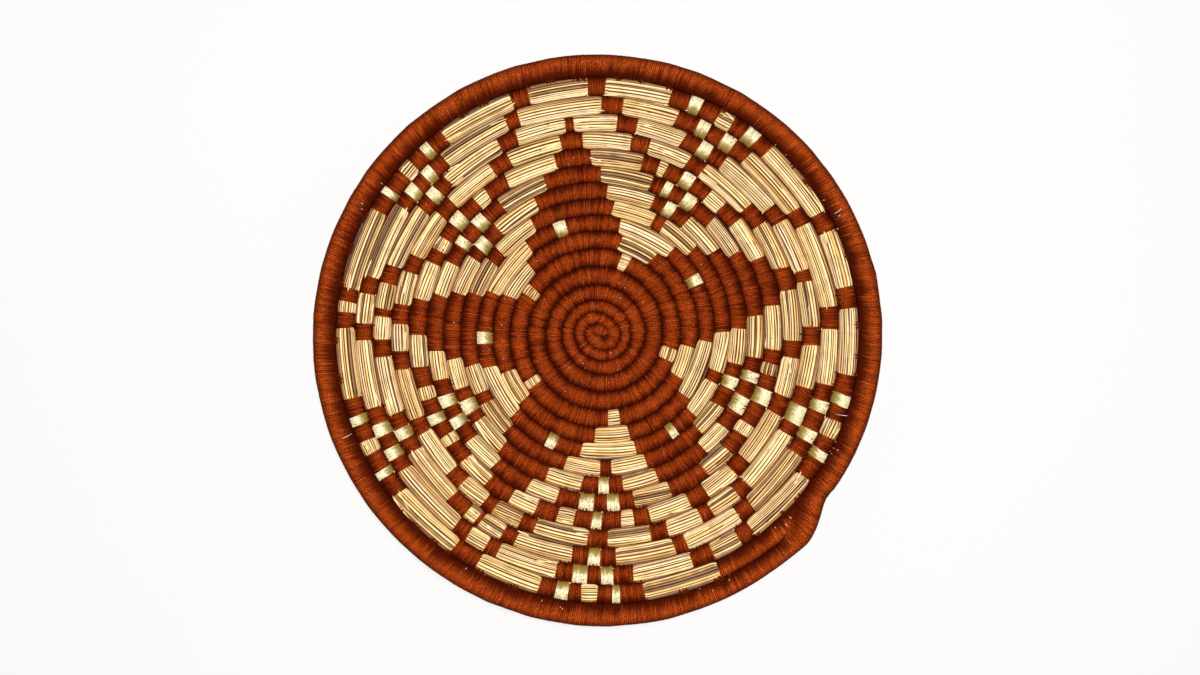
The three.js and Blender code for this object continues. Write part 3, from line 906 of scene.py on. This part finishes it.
# The rim's higher tone makes it a brighter copy of the same rust thread, painted light on its top
# between its painted shadows
RIM_WINDING = PATTERN_WINDING._replace(shadows=rim_shadows, tone=0.9, bulge=0.05 * MM, sides=28)
GOLD_WINDING = Winding("gold_thread", gold_thread_finish, gold_shadows, tone=0.6,
                       groove_light=(0.45, 0.95), raggedness=0.3 * MM, bulge=0.3 * MM, sides=20)


def wrap_piece(name, places, winding=PATTERN_WINDING, nodes=()):
    """A piece made of wrapped stretches."""
    weaving = Weaving(name)
    for start, end in places:
        wind_thread(weaving, start, end, winding)
    weaving.finish(winding.finish, winding.slot, nodes)


# Operators

class BASKET_OT_lay_straws(bpy.types.Operator):
    """Lays the bare stretches of the grass coil"""
    bl_idname = "basket.lay_straws"
    bl_label = "Lay the straws"

    def execute(self, context):
        bands = ((5, 8), (9, 11), (12, 13), (14, 15))
        for number, (first, last) in enumerate(bands, start=1):
            weaving = Weaving(f"straw_bundles_{number}")
            for start, end in stretches("b", rows=range(first, last + 1)):
                lay_straws(weaving, start, end)
            weaving.finish(dry_straw_finish, "grass", ["grass_coil"])
        return {"FINISHED"}


class BASKET_OT_wrap_centre(bpy.types.Operator):
    """Winds the thread round the first four turns"""
    bl_idname = "basket.wrap_centre"
    bl_label = "Wrap the centre"

    def execute(self, context):
        wrap_piece("centre_thread", [(LEAD_STARTS, CENTRE_ENDS)], STAR_WINDING, ["centre_wrap"])
        return {"FINISHED"}


class BASKET_OT_wrap_star(bpy.types.Operator):
    """Winds the five arms of the star and the gold dots in them"""
    bl_idname = "basket.wrap_star"
    bl_label = "Wrap the star"

    def execute(self, context):
        for axis in range(5):
            label = axis + 1
            arm = stretches("s", ARM_AXES, axis)
            wrap_piece(f"star_arm_thread_{label}", arm, STAR_WINDING, [f"star_arm_wrap_{label}"])
            dot = stretches("g", ARM_AXES, axis, [GOLD_DOT_ROW])
            wrap_piece(f"gold_dot_thread_{label}", dot, GOLD_WINDING, [f"gold_dot_wrap_{label}"])
        return {"FINISHED"}


class BASKET_OT_wrap_diamonds(bpy.types.Operator):
    """Winds the ten diamonds and the gold blocks in them"""
    bl_idname = "basket.wrap_diamonds"
    bl_label = "Wrap the diamonds"

    def execute(self, context):
        for ring, rows in (("inner", INNER_DIAMOND_ROWS), ("outer", OUTER_DIAMOND_ROWS)):
            for axis in range(5):
                rust = stretches("d", DIAMOND_AXES, axis, rows)
                node = f"{ring}_diamond_wrap_{axis + 1}"
                wrap_piece(f"{ring}_diamond_thread_{axis + 1}", rust, nodes=[node])
                gold = stretches("g", DIAMOND_AXES, axis, rows)
                wrap_piece(f"{ring}_diamond_gold_{axis + 1}", gold, GOLD_WINDING)
        return {"FINISHED"}


class BASKET_OT_wrap_zigzags(bpy.types.Operator):
    """Winds the narrow wraps that step outwards in zigzag lines"""
    bl_idname = "basket.wrap_zigzags"
    bl_label = "Wrap the zigzags"

    def execute(self, context):
        for axis in range(5):
            wrap_piece(f"zigzag_thread_{axis + 1}", stretches("z", ARM_AXES, axis))
        return {"FINISHED"}


class BASKET_OT_wrap_rim(bpy.types.Operator):
    """Winds the thicker rim and its tapered end"""
    bl_idname = "basket.wrap_rim"
    bl_label = "Wrap the rim"

    def execute(self, context):
        wrap_piece("rim_thread", [(RIM_STARTS, RIM_ENDS)], RIM_WINDING, ["rim_wrap"])
        return {"FINISHED"}


class BASKET_OT_sew_feet(bpy.types.Operator):
    """Sews the threads that dip into the coil inside"""
    bl_idname = "basket.sew_feet"
    bl_label = "Sew the feet"

    def execute(self, context):
        for name, kinds, share in (("pattern_stitches", "zdg", 0.45), ("star_stitches", "s", 0.08)):
            weaving = Weaving(name)
            places = stretches(kinds, rows=CHART_ROWS[1:])
            sew_feet(weaving, *wrap_feet(places, weaving.dice, share))
            weaving.finish(rust_thread_finish, "rust_thread")
        weaving = Weaving("rim_stitches")
        sew_feet(weaving, *rim_feet(weaving.dice))
        weaving.finish(rust_thread_finish, "rust_thread")
        return {"FINISHED"}


# Loose ends: how much lint there is, slivers in the rim as (turn, from and to an angle, how many),
# and threads as (turn and place in degrees round the coil, for each end) and a height
LINT_ON_CENTRE, LINT_ON_ARMS = 18, 34
SLIVER_CHANCE = 0.5
RIM_SLIVERS = ((16, 236, 300, 9), (15, 312, 336, 14), (16, 20, 50, 5), (16, 140, 165, 3))
LOOSE_STEM_ROWS = range(11, 16)
LOOSE_THREADS = (
    ((14.948, 88), (15.950, 118), 4 * MM),
    ((16.559, 130), (16.560, 60), 2 * MM),
    ((9.962, 130), (9.960, 60), 2 * MM),
    ((16.077, 130), (16.078, 60), 2 * MM),
)


class BASKET_OT_leave_loose_ends(bpy.types.Operator):
    """Leaves lint in the grooves, loose stems, slivers of grass and a few loose thread ends"""
    bl_idname = "basket.leave_loose_ends"
    bl_label = "Leave loose ends"

    def execute(self, context):
        self.leave_lint()
        self.leave_slivers()
        self.leave_threads()
        return {"FINISHED"}

    def leave_lint(self):
        """Pale lint that clings to the thread, most of it in the grooves."""
        weaving = Weaving("lint")
        dice = weaving.dice
        arms = stretches("s", rows=range(6, 12))
        turns = list(mix(1.3, CENTRE_ENDS, np.sqrt(dice.uniform(size=LINT_ON_CENTRE))))
        for number in dice.integers(len(arms), size=LINT_ON_ARMS):
            turns.append(mix(*arms[number], dice.uniform(0.05, 0.95)))
        for turn in turns:
            lay_sliver(weaving, turn, math.radians(dice.uniform(50, 140)),
                       dice.uniform(0.3, 0.7) / dice.uniform(0.3, 1.0) * MM,
                       dice.uniform(0, math.pi), dice.uniform(0.06, 0.15) * MM, 0.3 * MM)
        weaving.finish(white_thread_finish)

    def leave_slivers(self):
        """Ends of stems at the feet of the wraps and between the threads of the rim."""
        weaving = Weaving("grass_slivers")
        dice = weaving.dice
        for start, end in stretches("zd"):
            if dice.uniform() < SLIVER_CHANCE:
                turn = start if dice.uniform() < 0.5 else end
                lay_sliver(weaving, turn, math.radians(dice.uniform(120, 150)),
                           dice.uniform(1.0, 2.4) * MM, dice.uniform(-0.6, 0.6),
                           dice.uniform(0.15, 0.3) * MM, 0.4 * MM)
        self.splay_stems(weaving)
        for row, low, high, count in RIM_SLIVERS:
            for _ in range(count):
                turn = row + dice.uniform(low, high) / 360
                lay_sliver(weaving, turn, math.radians(dice.uniform(75, 150)),
                           dice.uniform(1.2, 3.0) * MM, math.radians(dice.uniform(70, 100)),
                           dice.uniform(0.13, 0.24) * MM, 0.42 * MM)
        weaving.finish(dry_straw_finish, "grass")

    def splay_stems(self, weaving):
        """Stems of the outer rows that have come loose from their bundle and lie askew."""
        dice = weaving.dice
        # Painted shade: each loose stem darkens at both ends, where it meets the coil
        crests = [[0.1], [1.0], [1.0], [1.0], [1.0], [0.1]]
        share = np.linspace(0, 1, len(crests))
        for start, end in stretches("b", rows=LOOSE_STEM_ROWS):
            bare = length_at(end) - length_at(start)
            for _ in range(dice.integers(0, 3)):
                length = min(dice.uniform(8, 20) * MM, 0.9 * bare) / bare
                first = mix(start, end, dice.choice((-0.06, 1.06 - length)))
                last = first + length * (end - start)
                place = math.radians(dice.uniform(35, 140))
                places = mix(place, place + dice.normal(0, 0.3), share)
                path = on_coil(mix(first, last, share), places, 0.25 * MM)
                sew_strand(weaving, path, dice.uniform(0.3, 0.5) * MM, dice.uniform(0.2, 0.9),
                           crests, sides=5)

    def leave_threads(self):
        """Loose pale thread ends, each an arch from one place on the coil to another."""
        weaving = Weaving("loose_threads")
        share = np.linspace(0, 1, 7)[:, None]
        arch = np.sin(np.pi * share[:, 0])
        for (foot, foot_place), (top, top_place), height in LOOSE_THREADS:
            low = on_coil(foot, math.radians(foot_place), 0.3 * MM)[0]
            high = on_coil(top, math.radians(top_place), 0.5 * MM)[0]
            path = mix(low, high, share)
            path[:, 2] += height * arch ** 2
            path[:, 0] += 0.8 * MM * arch
            sew_strand(weaving, path, 0.16 * MM, weaving.dice.uniform(0.5, 0.7))
        weaving.finish(white_thread_finish)


class BASKET_OT_set_stage(bpy.types.Operator):
    """Sets the pale floor, the soft light and the camera"""
    bl_idname = "basket.set_stage"
    bl_label = "Set the stage"

    def execute(self, context):
        studio = context.scene.basket_studio
        add_floor()
        add_light(studio)
        add_camera(studio)
        return {"FINISHED"}


def add_floor():
    net = bmesh.new()
    bmesh.ops.create_grid(net, x_segments=8, y_segments=8, size=4.0)
    mesh = bpy.data.meshes.new("floor")
    net.to_mesh(mesh)
    net.free()
    mesh.materials.append(finish_from(floor_finish))
    floor = add_object("floor", mesh)


def add_light(studio):
    """One soft lamp overhead, and pale light from all round."""
    place, target = (0.06, 0.12, 2.6), (0.0, 0.0, 0.02)
    lamp = bpy.data.lights.new("overhead_lamp", "AREA")
    lamp.shape = "DISK"
    lamp.size = 0.6
    lamp.energy = studio.lamp_power
    stand = add_object("overhead_lamp", lamp)
    stand.location = place
    aim = np.array(place) - np.array(target)
    stand.rotation_euler = (math.atan2(math.hypot(aim[0], aim[1]), aim[2]), 0.0,
                            math.atan2(aim[1], aim[0]) + math.pi / 2)
    world = bpy.data.worlds.new("pale_room")
    world.use_nodes = True
    sky = world.node_tree.nodes["Background"]
    sky.inputs["Color"].default_value = (*WHITE, 1.0)
    sky.inputs["Strength"].default_value = studio.room_light
    bpy.context.scene.world = world
    bpy.context.scene.view_settings.view_transform = "Standard"


def add_camera(studio):
    """A camera straight above, whose frame is 1200 photograph pixels wide."""
    image_width = 1200
    sensor_width = 36.0
    rim_height = 0.053
    rim_pixel = 0.537 * MM
    lens = bpy.data.cameras.new("camera")
    lens.sensor_width = sensor_width
    lens.lens = sensor_width * studio.camera_height / (image_width * rim_pixel)
    camera = add_object("camera", lens)
    aim_x, aim_y = 0.34 * MM, -2.1 * MM
    camera.location = (SPIRAL_MIDDLE[0] + aim_x, SPIRAL_MIDDLE[1] + aim_y,
                       rim_height + studio.camera_height)
    bpy.context.scene.camera = camera


class BASKET_PT_panel(bpy.types.Panel):
    """The basket's sizes, colours and pieces in the sidebar"""
    bl_idname = "BASKET_PT_panel"
    bl_label = "Coiled Basket"
    bl_space_type = "VIEW_3D"
    bl_region_type = "UI"
    bl_category = "Basket"

    def draw(self, context):
        layout = self.layout
        scene = context.scene
        for group in (scene.basket_sizes, scene.basket_colours, scene.basket_studio):
            box = layout.box()
            for name in group.__annotations__:
                box.prop(group, name)
        for operator in OPERATORS:
            layout.operator(operator.bl_idname)


OPERATORS = (
    BASKET_OT_lay_straws,
    BASKET_OT_wrap_centre,
    BASKET_OT_wrap_star,
    BASKET_OT_wrap_diamonds,
    BASKET_OT_wrap_zigzags,
    BASKET_OT_wrap_rim,
    BASKET_OT_sew_feet,
    BASKET_OT_leave_loose_ends,
    BASKET_OT_set_stage,
)
CLASSES = (BasketSizes, BasketColours, StudioSettings, *OPERATORS, BASKET_PT_panel)


def register():
    for one in CLASSES:
        bpy.utils.register_class(one)
    bpy.types.Scene.basket_sizes = bpy.props.PointerProperty(type=BasketSizes)
    bpy.types.Scene.basket_colours = bpy.props.PointerProperty(type=BasketColours)
    bpy.types.Scene.basket_studio = bpy.props.PointerProperty(type=StudioSettings)


def unregister():
    del bpy.types.Scene.basket_studio
    del bpy.types.Scene.basket_colours
    del bpy.types.Scene.basket_sizes
    for one in reversed(CLASSES):
        bpy.utils.unregister_class(one)


def main():
    register()
    bpy.ops.basket.lay_straws()
    bpy.ops.basket.wrap_centre()
    bpy.ops.basket.wrap_star()
    bpy.ops.basket.wrap_diamonds()
    bpy.ops.basket.wrap_zigzags()
    bpy.ops.basket.wrap_rim()
    bpy.ops.basket.sew_feet()
    bpy.ops.basket.leave_loose_ends()
    bpy.ops.basket.set_stage()


if __name__ == "__main__":
    main()
